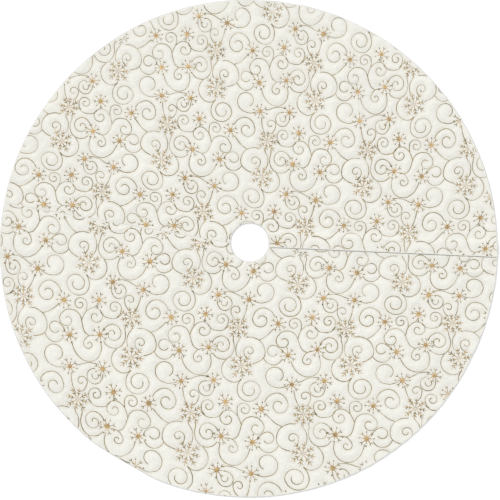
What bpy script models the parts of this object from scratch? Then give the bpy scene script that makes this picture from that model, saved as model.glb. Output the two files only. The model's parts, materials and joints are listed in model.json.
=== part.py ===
"""Round lined tree skirt, laid flat on the floor. Metres, +Z up.

The origin is the middle of the rim circle, on the floor. +X runs along the opening slit.
Two half-round panels of plush are sewn together along one radius, and each has a lining let in
under it. Along the other radius the skirt is open: the upper panel lies edge to edge with the
lower one, on an underlap strip, and three pairs of hook-and-loop tape hold it there. The upper
panel folds over the lower one at the seam, and its free edge folds back as a flap. The flap is
cut from the rest of the panel at that fold, layer by layer, so that each body has its own.
"""

import math

import bmesh
import bpy
from mathutils import Vector

# Driving dimensions of the cloth, in plan.
SKIRT_DIAMETER = 1.22
NECK_DIAMETER = 0.093
NECK_CENTRE = Vector((0.002, 0.015))
SLIT_Y = 0.005  # the edge of the upper panel at the slit
SLIT_GAP = 0.0005  # from there to the edge of the lower panel
SEAM_ANGLE = math.radians(172.4)  # the sewn radius, from the slit
UNDERLAP = 0.025  # how far the strip sewn to the lower panel reaches in under the upper one
HEM_WIDTH = 0.005  # the strip of plush that is turned under at a free edge

# Thicknesses, from the floor up.
LINING_THICKNESS = 0.0006
FACE_THICKNESS = 0.0026
CLEARANCE = 0.0002
THREAD_DIAMETER = 0.0006

# Hook-and-loop tape: a woven base with a narrower block of hooks or loops on it.
TAPE_COUNT = 3
TAPE_LENGTH = 0.050
TAPE_WIDTH = 0.018
TAPE_BASE = 0.0004
TAPE_PILE = 0.0006
TAPE_SELVEDGE = 0.0025
TAPE_END_MARGIN = 0.020  # from the neck edge and from the rim
STITCH_WIDTH = 0.0008
STITCH_THICKNESS = 0.0002
STITCH_CLEARANCE = 0.0002

# The flap's fold line.
FOLD_GAP = 0.0006
FLAP_MARGIN = 0.0006  # from the top of the ramp to where the line leaves the neck circle
RAMP_WIDTH = 0.015  # over which the upper panel climbs onto the underlap
RAMP_STEPS = 6

# How finely round edges are divided.
RIM_STEP = math.radians(3.0)
NECK_STEP = math.radians(9.0)
THREAD_SIDES = 6

CREAM = (0.86, 0.84, 0.77, 1.0)
IVORY = (0.90, 0.89, 0.85, 1.0)
THREAD_WHITE = (0.88, 0.87, 0.82, 1.0)
TAPE_WHITE = (0.93, 0.93, 0.92, 1.0)

# Worked out from the driving dimensions.
RIM_RADIUS = SKIRT_DIAMETER / 2
NECK_RADIUS = NECK_DIAMETER / 2
RIM_CENTRE = Vector((0.0, 0.0))
SEAM_START = Vector((0.0, SLIT_Y))
SEAM_HEADING = Vector((math.cos(SEAM_ANGLE), math.sin(SEAM_ANGLE)))
SEAM_GROOVE = THREAD_DIAMETER + 3 * CLEARANCE  # from the hem to the lining, for the thread
POCKET_TOP = max(LINING_THICKNESS, THREAD_DIAMETER) + CLEARANCE
FACE_TOP = POCKET_TOP + FACE_THICKNESS
TAPE_THICKNESS = TAPE_BASE + TAPE_PILE
LOOP_BOTTOM = LINING_THICKNESS + CLEARANCE
HOOK_BOTTOM = LOOP_BOTTOM + TAPE_THICKNESS + CLEARANCE
LIFT = HOOK_BOTTOM + TAPE_THICKNESS + CLEARANCE  # of the upper panel, over the underlap
THREAD_Z = CLEARANCE / 2 + THREAD_DIAMETER / 2
LIFTED_TO = SLIT_Y + UNDERLAP + HEM_WIDTH  # the flap lies level on the underlap up to here
FLAP_RISE = LIFTED_TO + RAMP_WIDTH + FLAP_MARGIN - NECK_CENTRE.y
FLAP_START = NECK_CENTRE + Vector((math.sqrt(NECK_RADIUS**2 - FLAP_RISE**2), FLAP_RISE))
# Run back past the neck, the fold line stays inside the hole, clear of the other panel edge.
FLAP_HEADING = (FLAP_START - NECK_CENTRE + Vector((NECK_RADIUS / 2, 0.0))).normalized()
FLAP_NORMAL = Vector((-FLAP_HEADING.y, FLAP_HEADING.x))
RAMP_HEIGHTS = [
    LIFT * (1.0 - share * share * (3.0 - 2.0 * share))
    for share in (step / RAMP_STEPS for step in range(RAMP_STEPS + 1))
]


def clear_scene():
    for obj in list(bpy.data.objects):
        bpy.data.objects.remove(obj)


def cloth_material(name, colour, roughness):
    material = bpy.data.materials.new(name)
    material.use_nodes = True
    shader = material.node_tree.nodes["Principled BSDF"]
    shader.inputs["Base Color"].default_value = colour
    shader.inputs["Roughness"].default_value = roughness
    shader.inputs["Metallic"].default_value = 0.0
    return material


def leaving(start, heading, centre, radius):
    """The point where a straight line from inside a circle leaves it."""
    across = start - centre
    along = across.dot(heading)
    distance = -along + math.sqrt(along * along - across.length_squared + radius * radius)
    return start + heading * distance


def arc(centre, radius, first, last, turn, step):
    """Points on a circle from one point to another, anticlockwise (turn 1) or clockwise (-1)."""
    begin = math.atan2(first.y - centre.y, first.x - centre.x)
    end = math.atan2(last.y - centre.y, last.x - centre.x)
    sweep = ((end - begin) * turn) % math.tau
    count = max(1, math.ceil(sweep / step))
    angles = [begin + turn * sweep * i / count for i in range(count + 1)]
    return [centre + radius * Vector((math.cos(a), math.sin(a))) for a in angles]


def panel_edge(upper, inset, seam_inset, slit_inset):
    """The outline of a half-round panel, from its seam round the rim, in along the slit and
    round the neck back to the seam. inset moves it in from the rim and the neck, seam_inset
    from the seam, and slit_inset from the slit."""
    side = 1 if upper else -1
    edge_y = SLIT_Y + slit_inset if upper else SLIT_Y - SLIT_GAP - slit_inset
    rim = RIM_RADIUS - inset
    neck = NECK_RADIUS + inset
    into_panel = Vector((SEAM_HEADING.y, -SEAM_HEADING.x)) * side
    seam_from = SEAM_START + into_panel * seam_inset
    slit_from = Vector((0.0, edge_y))
    slit_heading = Vector((1.0, 0.0))
    rim_at_seam = leaving(seam_from, SEAM_HEADING, RIM_CENTRE, rim)
    rim_at_slit = leaving(slit_from, slit_heading, RIM_CENTRE, rim)
    neck_at_seam = leaving(seam_from, SEAM_HEADING, NECK_CENTRE, neck)
    neck_at_slit = leaving(slit_from, slit_heading, NECK_CENTRE, neck)
    round_rim = arc(RIM_CENTRE, rim, rim_at_seam, rim_at_slit, -side, RIM_STEP)
    round_neck = arc(NECK_CENTRE, neck, neck_at_slit, neck_at_seam, side, NECK_STEP)
    return round_rim + round_neck


def slab(outline, bottom, top):
    """A bmesh plate with that outline."""
    plate = bmesh.new()
    corners = [plate.verts.new((p.x, p.y, bottom)) for p in outline]
    base = plate.faces.new(corners)
    raised = bmesh.ops.extrude_face_region(plate, geom=[base])
    moved = [v for v in raised["geom"] if isinstance(v, bmesh.types.BMVert)]
    bmesh.ops.translate(plate, verts=moved, vec=(0, 0, top - bottom))
    bmesh.ops.recalc_face_normals(plate, faces=plate.faces)
    return plate


def tube(path, z):
    """A bmesh thread of THREAD_DIAMETER along a path in plan."""
    thread = bmesh.new()
    rings = []
    last = len(path) - 1
    for i, point in enumerate(path):
        heading = (path[min(i + 1, last)] - path[max(i - 1, 0)]).normalized()
        across = Vector((-heading.y, heading.x))
        ring = []
        for k in range(THREAD_SIDES):
            turn = math.tau * (k + 0.5) / THREAD_SIDES
            out = across * math.cos(turn) * THREAD_DIAMETER / 2
            up = math.sin(turn) * THREAD_DIAMETER / 2
            ring.append(thread.verts.new((point.x + out.x, point.y + out.y, z + up)))
        rings.append(ring)
    for ring, following in zip(rings, rings[1:]):
        for k in range(THREAD_SIDES):
            nxt = (k + 1) % THREAD_SIDES
            thread.faces.new((ring[k], following[k], following[nxt], ring[nxt]))
    thread.faces.new(rings[0])
    thread.faces.new(rings[-1])
    bmesh.ops.recalc_face_normals(thread, faces=thread.faces)
    return thread


def kept_side(shape, point, normal):
    """A copy of a closed bmesh with what lies on the far side of a vertical plane cut off."""
    part = shape.copy()
    everything = part.verts[:] + part.edges[:] + part.faces[:]
    plane = (point.x, point.y, 0.0)
    facing = (normal.x, normal.y, 0.0)
    cut = bmesh.ops.bisect_plane(
        part, geom=everything, plane_co=plane, plane_no=facing, clear_inner=True
    )
    rim = [e for e in cut["geom_cut"] if isinstance(e, bmesh.types.BMEdge)]
    if rim:
        bmesh.ops.edgenet_fill(part, edges=rim)
    bmesh.ops.recalc_face_normals(part, faces=part.faces)
    return part


def ramp_height(y):
    """How high the flap's underside lies above the floor, straight between the ramp's steps."""
    place = min(max((y - LIFTED_TO) / RAMP_WIDTH, 0.0), 1.0) * RAMP_STEPS
    step = min(int(place), RAMP_STEPS - 1)
    share = place - step
    return RAMP_HEIGHTS[step] * (1.0 - share) + RAMP_HEIGHTS[step + 1] * share


def lifted(shape):
    """The shape with its slit side raised over the underlap, along a smooth ramp."""
    for step in range(RAMP_STEPS + 1):
        y = LIFTED_TO + RAMP_WIDTH * step / RAMP_STEPS
        everything = shape.verts[:] + shape.edges[:] + shape.faces[:]
        bmesh.ops.bisect_plane(
            shape, geom=everything, plane_co=(0.0, y, 0.0), plane_no=(0.0, 1.0, 0.0)
        )
    for vert in shape.verts:
        vert.co.z += ramp_height(vert.co.y)
    return shape


def by_body(shape):
    """An upper panel's shape cut at the flap's fold line: what stays, and the flap."""
    half_gap = FLAP_NORMAL * FOLD_GAP / 2
    stays = kept_side(shape, FLAP_START + half_gap, FLAP_NORMAL)
    flap = kept_side(shape, FLAP_START - half_gap, -FLAP_NORMAL)
    return stays, lifted(flap)


def loose_parts(shape):
    """The bmesh split into its separate bodies, the widest first."""
    left, found = set(shape.faces), []
    while left:
        body, edge = set(), [next(iter(left))]
        while edge:
            face = edge.pop()
            if face not in body:
                body.add(face)
                edge += [f for e in face.edges for f in e.link_faces if f not in body]
        left -= body
        found.append({v.index for f in body for v in f.verts})
    parts = []
    for wanted in found:
        part = shape.copy()
        gone = [v for v in part.verts if v.index not in wanted]
        bmesh.ops.delete(part, geom=gone, context="VERTS")
        parts.append(part)
    return sorted(parts, key=lambda p: -len(p.verts))


def add_object(name, shape, material):
    mesh = bpy.data.meshes.new(name)
    shape.to_mesh(mesh)
    shape.free()
    obj = bpy.data.objects.new(name, mesh)
    obj.data.materials.append(material)
    bpy.context.scene.collection.objects.link(obj)
    return obj


def add_face(name, cloth, room, material):
    """A plush panel, with the pocket cut from its underside that the lining is let into."""
    face = add_object(name, cloth, material)
    cutter = add_object(name + "_pocket", room, material)
    cutter.hide_render = True
    cutter.display_type = "WIRE"
    cut = face.modifiers.new("lining pocket", "BOOLEAN")
    cut.operation = "DIFFERENCE"
    cut.object = cutter


def face_panels(material):
    """The plush of both panels. At a free edge it is turned under, as a hem round the pocket."""
    past = -HEM_WIDTH
    cloth = slab(panel_edge(False, 0.0, CLEARANCE / 2, 0.0), 0.0, FACE_TOP)
    room = slab(panel_edge(False, HEM_WIDTH, past, past), past, POCKET_TOP)
    add_face("lower_face", cloth, room, material)
    stays, flap = by_body(slab(panel_edge(True, 0.0, CLEARANCE / 2, 0.0), 0.0, FACE_TOP))
    whole_room = slab(panel_edge(True, HEM_WIDTH, past, HEM_WIDTH), past, POCKET_TOP)
    reach = FLAP_NORMAL * HEM_WIDTH
    room = kept_side(whole_room, FLAP_START - reach, FLAP_NORMAL)
    flap_room = lifted(kept_side(whole_room, FLAP_START + reach, -FLAP_NORMAL))
    add_face("upper_face", stays, room, material)
    add_face("flap_face", flap, flap_room, material)


def linings(material):
    """The linings, let into the pockets under the plush, and the underlap strip beside them."""
    inset = HEM_WIDTH + SEAM_GROOVE
    sheet = slab(panel_edge(False, inset, SEAM_GROOVE / 2, inset), 0.0, LINING_THICKNESS)
    add_object("lower_lining", sheet, material)
    whole = slab(panel_edge(True, inset, SEAM_GROOVE / 2, inset), 0.0, LINING_THICKNESS)
    stays, flap = by_body(whole)
    add_object("upper_lining", stays, material)
    add_object("flap_lining", flap, material)
    near = Vector((NECK_CENTRE.x + NECK_RADIUS + inset, SLIT_Y - SLIT_GAP - HEM_WIDTH))
    far_y = SLIT_Y + UNDERLAP
    far = leaving(Vector((0.0, far_y)), Vector((1.0, 0.0)), RIM_CENTRE, RIM_RADIUS - inset)
    corners = (near, Vector((far.x, near.y)), far, Vector((near.x, far_y)))
    add_object("underlap_strip", slab(corners, 0.0, LINING_THICKNESS), material)


def edge_threads(material):
    """The threads that hold a lining to the hem round it, and one along the panels' seam."""
    inset = HEM_WIDTH + SEAM_GROOVE / 2
    beside = THREAD_DIAMETER / 2 + CLEARANCE
    path = panel_edge(False, inset, beside, inset)
    add_object("lower_edge_thread", tube(path, THREAD_Z), material)
    stays, flap = by_body(tube(panel_edge(True, inset, beside, inset), THREAD_Z))
    add_object("flap_edge_thread", flap, material)
    rim, neck = loose_parts(stays)
    add_object("upper_rim_thread", rim, material)
    add_object("upper_neck_thread", neck, material)
    end = inset + beside
    inner = leaving(SEAM_START, SEAM_HEADING, NECK_CENTRE, NECK_RADIUS + end)
    outer = leaving(SEAM_START, SEAM_HEADING, RIM_CENTRE, RIM_RADIUS - end)
    add_object("panel_seam_thread", tube([inner, outer], THREAD_Z), material)


def block(length, width, bottom, top):
    half_x, half_y = length / 2, width / 2
    corners = ((-half_x, -half_y), (half_x, -half_y), (half_x, half_y), (-half_x, half_y))
    return slab([Vector(c) for c in corners], bottom, top)


def tape_strip(name, place, base_bottom, pile_up, material):
    """One strip of tape, its pile facing up or down."""
    base_top = base_bottom + TAPE_BASE
    strip = block(TAPE_LENGTH, TAPE_WIDTH, base_bottom, base_top)
    facing = [f for f in strip.faces if abs(f.normal.z) > 0.9]
    outer = max(facing, key=lambda f: f.calc_center_median().z * (1 if pile_up else -1))
    bmesh.ops.inset_region(strip, faces=[outer], thickness=TAPE_SELVEDGE)
    risen = bmesh.ops.extrude_face_region(strip, geom=[outer])
    bmesh.ops.delete(strip, geom=[outer], context="FACES_ONLY")
    verts = [v for v in risen["geom"] if isinstance(v, bmesh.types.BMVert)]
    bmesh.ops.translate(strip, verts=verts, vec=(0, 0, TAPE_PILE * (1 if pile_up else -1)))
    bmesh.ops.recalc_face_normals(strip, faces=strip.faces)
    bmesh.ops.translate(strip, verts=strip.verts, vec=place)
    add_object(name, strip, material)


def tape_stitching(name, place, bottom, material):
    """The box of stitches on a tape's selvedge, as one flat frame."""
    margin = (TAPE_SELVEDGE - STITCH_WIDTH) / 2
    length, width = TAPE_LENGTH - 2 * margin, TAPE_WIDTH - 2 * margin
    frame = block(length, width, bottom, bottom + STITCH_THICKNESS)
    flat = [f for f in frame.faces if abs(f.normal.z) > 0.9]
    bmesh.ops.inset_individual(frame, faces=flat, thickness=STITCH_WIDTH)
    inner = [f for f in flat if f.is_valid]
    bmesh.ops.bridge_loops(frame, edges=[e for f in inner for e in f.edges])
    bmesh.ops.delete(frame, geom=inner, context="FACES_ONLY")
    bmesh.ops.recalc_face_normals(frame, faces=frame.faces)
    bmesh.ops.translate(frame, verts=frame.verts, vec=place)
    add_object(name, frame, material)


def closures(tape, thread):
    """Loop tapes on the underlap strip, and hook tapes under the flap right above them."""
    middle_y = SLIT_Y + UNDERLAP / 2
    first = NECK_CENTRE.x + NECK_RADIUS + TAPE_END_MARGIN + TAPE_LENGTH / 2
    last = RIM_RADIUS - TAPE_END_MARGIN - TAPE_LENGTH / 2
    hook_base = HOOK_BOTTOM + TAPE_PILE
    for i in range(TAPE_COUNT):
        place = Vector((first + (last - first) * i / (TAPE_COUNT - 1), middle_y, 0.0))
        tape_strip(f"loop_tape_{i + 1}", place, LOOP_BOTTOM, True, tape)
        tape_strip(f"hook_tape_{i + 1}", place, hook_base, False, tape)
        on_loop = LOOP_BOTTOM + TAPE_BASE + STITCH_CLEARANCE
        under_hook = hook_base - STITCH_CLEARANCE - STITCH_THICKNESS
        tape_stitching(f"loop_tape_stitching_{i + 1}", place, on_loop, thread)
        tape_stitching(f"hook_tape_stitching_{i + 1}", place, under_hook, thread)


def main():
    clear_scene()
    plush = cloth_material("plush", CREAM, 0.95)
    lining = cloth_material("lining", IVORY, 0.85)
    thread = cloth_material("thread", THREAD_WHITE, 0.7)
    tape = cloth_material("tape", TAPE_WHITE, 0.8)
    face_panels(plush)
    linings(lining)
    edge_threads(thread)
    closures(tape, thread)


main()
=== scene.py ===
"""Looks of a round lined tree skirt: plush with a gold snowflake print, lining, hems and closures.

Metres, +Z up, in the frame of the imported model. It lies flat with its opening slit along +X.
"""

import json
import math

import bpy
import numpy as np
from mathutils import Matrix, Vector, kdtree


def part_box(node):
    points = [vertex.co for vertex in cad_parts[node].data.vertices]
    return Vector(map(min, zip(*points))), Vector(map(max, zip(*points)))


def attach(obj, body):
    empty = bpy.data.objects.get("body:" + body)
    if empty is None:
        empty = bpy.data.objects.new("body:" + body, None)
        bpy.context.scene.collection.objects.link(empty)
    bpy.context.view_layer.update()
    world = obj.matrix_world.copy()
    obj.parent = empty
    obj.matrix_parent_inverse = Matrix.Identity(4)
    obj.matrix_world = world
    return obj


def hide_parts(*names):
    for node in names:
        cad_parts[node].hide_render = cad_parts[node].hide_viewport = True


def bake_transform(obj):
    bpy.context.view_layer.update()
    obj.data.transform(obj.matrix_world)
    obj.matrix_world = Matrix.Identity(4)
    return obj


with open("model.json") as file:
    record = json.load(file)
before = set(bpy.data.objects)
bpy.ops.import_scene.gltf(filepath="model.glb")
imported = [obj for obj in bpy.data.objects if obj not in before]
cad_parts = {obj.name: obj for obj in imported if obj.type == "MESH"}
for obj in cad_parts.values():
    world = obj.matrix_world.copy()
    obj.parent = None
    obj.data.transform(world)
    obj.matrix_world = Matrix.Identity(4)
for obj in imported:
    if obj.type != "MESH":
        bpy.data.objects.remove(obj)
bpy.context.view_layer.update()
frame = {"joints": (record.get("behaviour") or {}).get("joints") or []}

bl_info = {
    "name": "Snowflake tree skirt",
    "version": (1, 0, 0),
    "blender": (4, 5, 0),
    "location": "3D View > Sidebar > Tree skirt",
    "description": "Builds a plush tree skirt with a gold snowflake print around its packed frame",
    "category": "Object",
}

MM = 0.001

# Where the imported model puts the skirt's edges and folds.
JOINTS = {joint["name"]: joint for joint in frame["joints"]}
SEAM_START = np.array(JOINTS["seam_fold"]["pos_m"][:2])
SEAM_HEADING = -np.array(JOINTS["seam_fold"]["axis"][:2])
SEAM_NORMAL = np.array((SEAM_HEADING[1], -SEAM_HEADING[0]))  # into the upper panel
FLAP_START = np.array(JOINTS["flap_fold"]["pos_m"][:2])
FLAP_HEADING = -np.array(JOINTS["flap_fold"]["axis"][:2])
FLAP_NORMAL = np.array((-FLAP_HEADING[1], FLAP_HEADING[0]))  # away from the flap
RIM_RADIUS = (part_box("lower_face")[1].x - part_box("lower_face")[0].x) / 2
SLIT_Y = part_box("flap_face")[0].y
SLIT_GAP = 0.5 * MM
FACE_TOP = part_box("upper_face")[1].z
FLAP_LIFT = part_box("flap_face")[1].z - FACE_TOP
LINING_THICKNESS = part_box("lower_lining")[1].z
LIFTED_TO = 35 * MM  # the flap lies level on the underlap up to this far past the middle line
RAMP_WIDTH = 15 * MM
POCKET_TOP = 0.8 * MM
LINING_INSET = 6.2 * MM
THREAD_INSET = 5.6 * MM
SEAM_LINING_INSET = 0.6 * MM

# How finely the cloth is divided, along a radius and round each half.
ROWS = 160
COLUMNS = 480
SPLIT_COLUMN = 240
UNDER_ROW_STEP = 8
UNDER_COLUMN_STEP = 2
FOLD_WIDTH = 30 * MM  # the stretch over which the cloth bends beside a fold

# The rim's puckers at the back, by their angle in degrees: the middle, the reach and the rate.
PUCKER_MIDDLE = 86.0
PUCKER_REACH = 17.0
PUCKER_RATE = 48.0
# Creases in the pile: where each starts and ends, then its width and height in millimetres.
CREASES = (
    ((0.50, -0.035), (0.60, -0.030), 5.0, 1.2),
    ((0.52, -0.115), (0.60, -0.075), 6.0, 1.1),
    ((0.555, -0.19), (0.585, -0.115), 6.0, -1.0),
    ((-0.42, -0.43), (-0.31, -0.50), 8.0, -1.2),
    ((-0.05, 0.56), (-0.03, 0.60), 7.0, 1.2),
    ((0.06, 0.55), (0.055, 0.60), 7.0, 1.2),
)

# The print, in millimetres. One repeat holds a cell and the same cell mirrored, half a repeat
# lower.
REPEAT_WIDTH = 250.0
REPEAT_HEIGHT = 400.0
MIRROR_ACROSS = 137.8
MIRROR_DROP = 200.0
# How the printed cloth of each panel was laid and cut: where the cell's middle comes, how the
# rows slope, bow, sway and lean, how the print widens away from the slit, and how it stretches.
# These values weren't chosen: they are the rounded result of a least-squares fit to the places of
# the snowflakes on a real skirt.
UPPER_LAY = dict(
    x=-0.099, y=0.435, across=0.96, along=1.01, slope=-0.11, bow=0.085, sway=0.13, lean=0.037,
    growth=0.127, stretch=0.011, skew=0.005, twist=0.07, crowd=0.126,
)
LOWER_LAY = dict(
    x=-0.279, y=-0.230, across=1.07, along=1.07, slope=-0.096, bow=0.217, sway=-0.072, lean=0.037,
    growth=0.227, stretch=-0.012, skew=0.14, twist=-0.086, crowd=-0.002,
)
CELL_MIDDLE = (110.0, -20.0)
CELL_REACH = 0.22  # a cell whose middle lies farther than this beyond the rim is left out
MOST_ACROSS = 1.2  # and so is one farther to a side than this
SCROLL_MARGIN = 0.2 * MM
FLAKE_MARGIN = 0.8 * MM
PRINT_SEED = 20
FINE_STEP = 1.0  # between points along a printed line
COARSE_STEP = 3  # only every third point is kept where the cloth doesn't bend
LEAST_POINTS = 4  # a shorter stretch of a scroll is left out
# A small flake's middle: its least inset from the panel's edge, and its radius there.
DISC_SIZES = ((4.5, 6.4), (3.0, 4.2), (1.8, 2.8))
LARGE_FLAKES = (((-3.3, 44.6), 27.0, 0.15), ((4.3, -45.0), 30.0, 0.12))
SMALL_FLAKES = (
    ((89.5, 57.2), 0.1),
    ((169.0, 72.7), 0.5),
    ((111.8, -17.6), 0.25),
    ((179.9, -4.9), 0.4),
    ((119.0, -86.5), 0.0),
    ((192.2, -80.0), 0.3),
)
# Scrolls in one cell, in millimetres: the points of the stem, and the curl that it ends in, as
# centre, last radius and turns, anticlockwise when positive. The points were read off a real
# skirt's averaged repeat and turned into millimetres.
SCROLLS = (
    (((-11, 62), (-18, 70), (-22, 80)), ((-9.5, 85.5), 3.5, -1.0)),
    (
        ((82, 72.5), (75, 84), (66, 91), (55, 94.5), (45, 92.5), (35.5, 85), (30, 74)),
        ((49.5, 65.5), 7, 1.0),
    ),
    (((79, 45.5), (67.5, 33), (57.5, 24), (45, 17.5)), None),
    (
        (
            (14, 23), (29, 23.5), (44.5, 17.5), (54, 7.5), (59, -7.5),
            (58, -20), (51, -29), (40.5, -35), (31, -38),
        ),
        None,
    ),
    (((2.5, 24), (-0.5, 16), (-5.5, 8), (-8, -2.5), (-7.5, -14), (-4.5, -22.5)), None),
    (((16, -26), (12, -19), (10, -11)), ((23.5, -9.5), 3.5, -1.0)),
    (
        (
            (236.5, 26), (235.5, 16), (238, 2.5), (236.5, -11), (230, -22.5),
            (219, -29.5), (206, -29.5), (196, -25), (189.5, -17.5),
        ),
        None,
    ),
    (
        (
            (221, -30), (213, -40.5), (210, -54), (213, -66),
            (221, -76), (234, -82), (246, -81), (255, -74),
        ),
        None,
    ),
    (((186.5, 5), (190.5, 14), (199, 21), (207.5, 24)), ((209, 2), 2.5, -1.3)),
    (((191, -4), (196, -0.5), (201, 0.5)), None),
    (((170, -8), (160.5, -9.5), (152, -14.5), (146.5, -22.5)), ((157, -30.5), 2, 1.1)),
    (
        (
            (157, -12), (145.5, -5.5), (139, 7), (135, 20), (130, 31),
            (121, 38), (109, 40), (97, 37), (89.5, 29),
        ),
        ((102, 14.5), 5.5, 1.0),
    ),
    (((135, 21), (138, 32), (143, 42), (150, 49)), ((165.5, 34.5), 3, -1.35)),
    (((142, 42), (143.5, 51), (142.5, 62)), ((127, 56), 2.5, 1.33)),
    (((101, -13), (96, -4), (87, 3)), ((77.5, -8.5), 10.5, 0.78)),
    (((99, -25), (92, -35), (82.5, -40), (72, -39.5), (62.5, -34), (55.5, -25)), None),
    (
        (
            (118, -30), (121.5, -41), (129, -54), (139, -63), (151, -68.5), (165, -67.5),
            (176.5, -61), (183.5, -50), (186, -37.5), (184.5, -26), (182, -19),
        ),
        None,
    ),
    (((110.5, -88.5), (101, -92), (90, -94), (76, -91)), ((84, -65.5), 13.5, -0.86)),
    (((131, -81.5), (140, -79.5), (154, -73), (168, -70.5), (183, -71.5)), None),
    (((123, -99), (124, -110), (128, -126), (135, -141)), None),
    (((193.5, -90), (193, -100.5), (187, -111.5)), ((175.5, -99), 17, -0.62)),
    (((169.5, -94), (170, -96)), ((177, -98), 7, 0.67)),
    (
        (
            (6, -74), (-1.5, -84.5), (-4.5, -97.5), (-2.5, -110.5), (5.5, -120.5),
            (17.5, -125), (31, -123), (42, -114.5), (48, -102.5),
        ),
        ((24, -99), 9, 1.08),
    ),
    (((225, 50), (215, 40), (204.5, 36), (188, 37.5), (178, 44.5), (174.5, 50)), None),
    (((215.5, 42), (221, 50), (223, 59)), ((207, 62), 3, 1.3)),
    (((168, 65.5), (168, 59), (167.5, 53)), None),
)

# Colours, as linear values.
CREAM = (0.826, 0.820, 0.761)
IVORY = (0.84, 0.82, 0.75)
THREAD_WHITE = (0.86, 0.84, 0.78)
TAPE_WHITE = (0.88, 0.88, 0.86)
OLIVE_GOLD = (0.105, 0.094, 0.040)
LIGHT_GOLD = (0.465, 0.355, 0.155)
FLAKE_GOLD = (0.66, 0.45, 0.20)
FLOOR_WHITE = (0.97, 0.97, 0.97)


def smooth_step(value):
    share = np.clip(value, 0.0, 1.0)
    return share * share * (3.0 - 2.0 * share)


def bump_at(value, middle, reach):
    """A soft bump of height 1 at the middle, 0 beyond the reach."""
    return smooth_step(1.0 - np.abs(value - middle) / reach)


def ripples(x, y, wavelength, seed, waves=7):
    """Soft seeded relief of about that wavelength, from -1 to 1."""
    rng = np.random.default_rng(seed)
    total = np.zeros_like(x)
    for _ in range(waves):
        heading = rng.uniform(0.0, math.tau)
        length = wavelength * rng.uniform(0.7, 1.5)
        phase = rng.uniform(0.0, math.tau)
        along = x * math.cos(heading) + y * math.sin(heading)
        total += np.sin(math.tau * along / length + phase)
    return total / waves * 1.8


# ---------------------------------------------------------------- plan of the panels


def leaving(start, heading, centre, radius):
    """The point where a straight line from inside a circle leaves it."""
    across = start - centre
    along = across @ heading
    distance = -along + math.sqrt(along * along - across @ across + radius * radius)
    return start + heading * distance


def edge_curves(sizes, upper, t, inset, seam_inset, slit_inset):
    """Points round the neck and round the rim of a half, from the slit (t 0) to the seam (1)."""
    side = 1 if upper else -1
    edge_y = SLIT_Y + slit_inset if upper else SLIT_Y - SLIT_GAP - slit_inset
    seam_from = SEAM_START + SEAM_NORMAL * side * seam_inset
    slit_from = np.array((0.0, edge_y))
    neck_centre = np.array((sizes.neck_x, sizes.neck_y))
    found = []
    for centre, radius in (
        (neck_centre, sizes.neck_diameter / 2 + inset),
        (np.zeros(2), RIM_RADIUS - inset),
    ):
        first = leaving(slit_from, np.array((1.0, 0.0)), centre, radius) - centre
        last = leaving(seam_from, SEAM_HEADING, centre, radius) - centre
        begin = math.atan2(first[1], first[0])
        sweep = side * (((math.atan2(last[1], last[0]) - begin) * side) % math.tau)
        angles = begin + sweep * t
        found.append(centre + radius * np.stack((np.cos(angles), np.sin(angles)), 1))
    return found


def half_columns(upper):
    """Where the columns of a half stand, closer together where the cloth folds."""
    u = np.linspace(0.0, 1.0, SPLIT_COLUMN + 1)
    if not upper:
        return np.linspace(0.0, 1.0, COLUMNS + 1)
    middle, packing = 0.42, 0.35
    turn = math.tau * (u - middle)
    right = u - packing * (np.sin(turn) + math.sin(math.tau * middle)) / math.tau
    left = u + packing * np.sin(math.pi * u) / math.pi
    return np.concatenate((right / 2, 0.5 + left[1:] / 2))


def ruled(neck, rim, s):
    """Points on straight lines from the neck to the rim, as rows by columns."""
    return neck[None] + s[:, None, None] * (rim - neck)[None]


def round_border(points):
    """The border of a rows by columns array, in order."""
    return np.concatenate(
        (points[:, 0], points[-1, 1:], points[-2::-1, -1], points[0, -2:0:-1])
    )


# ---------------------------------------------------------------- relief of the cloth


def puckers_at(angle):
    """How much the rim's puckers draw it up at an angle, from 0 to 2."""
    waves = 1.0 + np.cos(np.radians(angle * PUCKER_RATE))
    return bump_at(angle, PUCKER_MIDDLE, PUCKER_REACH) * waves


def settle(points):
    """Plan points moved a little, as the soft rim lies: puckers at the back and a dent."""
    x, y = points[..., 0], points[..., 1]
    radius = np.hypot(x, y)
    angle = np.degrees(np.arctan2(y, x)) % 360.0
    near_rim = smooth_step((radius / RIM_RADIUS - 0.86) / 0.14)
    puckers = puckers_at(angle) * 1.1
    dents = 5.0 * bump_at(angle, 242.0, 11.0) + 1.6 * bump_at(angle, 338.0, 9.0)
    waves = 0.5 + 0.5 * np.sin(np.radians(angle * 13.0)) * np.sin(np.radians(angle * 5.0 + 40.0))
    pull = near_rim * (puckers + dents + waves) * MM / np.maximum(radius, 0.05)
    return points * (1.0 - pull)[..., None]


def under_height(points, upper):
    """How high the underside of the cloth lies above the floor."""
    x, y = points[..., 0], points[..., 1]
    radius = np.hypot(x, y)
    angle = np.degrees(np.arctan2(y, x)) % 360.0
    near_rim = smooth_step((radius / RIM_RADIUS - 0.90) / 0.10)
    height = near_rim * 1.6 * MM * puckers_at(angle)
    if upper:
        ramp = 1.0 - smooth_step((y - LIFTED_TO) / RAMP_WIDTH)
        height = height + np.where(x > 0.0, FLAP_LIFT * ramp, 0.0)
    return height


def crease(x, y, start, end, width):
    """A soft straight crease between two points, 1 on its line and fading at its ends."""
    run = np.array(end) - np.array(start)
    length = math.hypot(*run)
    heading = run / length
    along = ((x - start[0]) * heading[0] + (y - start[1]) * heading[1]) / length
    off = (x - start[0]) * -heading[1] + (y - start[1]) * heading[0]
    return np.exp(-((off / width) ** 2)) * smooth_step(along * 4.0) * smooth_step(4.0 - along * 4.0)


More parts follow.
